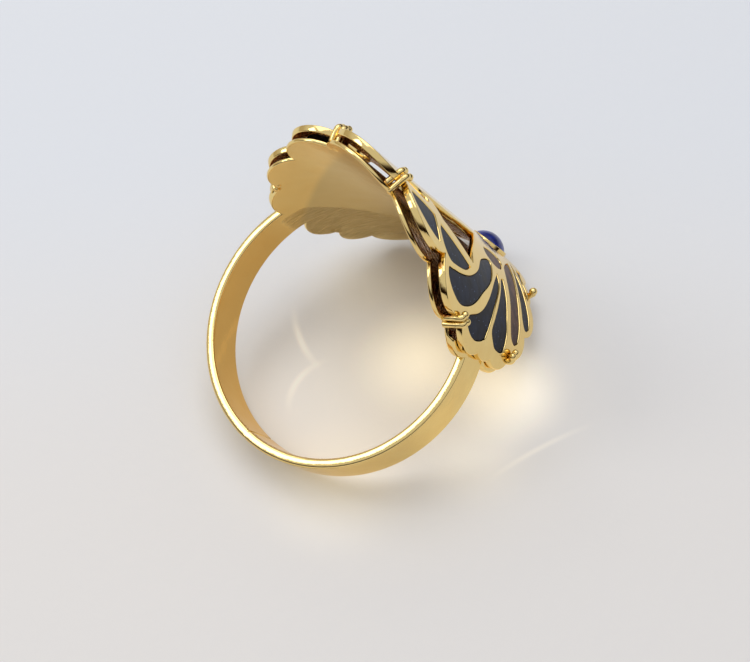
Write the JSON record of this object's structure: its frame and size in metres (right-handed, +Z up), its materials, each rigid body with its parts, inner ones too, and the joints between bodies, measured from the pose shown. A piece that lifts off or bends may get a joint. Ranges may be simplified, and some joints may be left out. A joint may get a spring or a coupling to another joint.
{
  "type": "finger ring with enamelled head and round lapis lazuli cabochon",
  "caption": "Finger ring with a flat strip hoop and a wide curved scalloped head of dark enamel petals radiating from one round blue cabochon.",
  "frame": {"origin": "on the surface the ring rests on, under the middle of its box", "axes": "+Z up as the ring lies on its far edge, +Y from the back of the hoop towards the head, X across the finger"},
  "size_m": [0.0188, 0.0228, 0.0202],
  "materials": {
    "gold": "polished yellow gold with soft wear",
    "enamel": "glossy near-black blue enamel",
    "lapis": "polished blue stone"
  },
  "bodies": {
    "root": {"ring_body": "gold", "plaque": "gold", "lapis_cabochon": "lapis", "centre_petal": "enamel", "centre_stem": "enamel", "front_leaf_left": "enamel", "front_leaf_right": "enamel", "fan_leaf_left": "enamel", "fan_leaf_right": "enamel", "feather_1_left": "enamel", "feather_1_right": "enamel", "feather_2_left": "enamel", "feather_2_right": "enamel", "feather_3_left": "enamel", "feather_3_right": "enamel", "feather_4_left": "enamel", "feather_4_right": "enamel", "feather_5_left": "enamel", "feather_5_right": "enamel", "feather_6_left": "enamel", "feather_6_right": "enamel", "stone_leaf_left": "enamel", "stone_leaf_right": "enamel"}
  },
  "joints": []
}
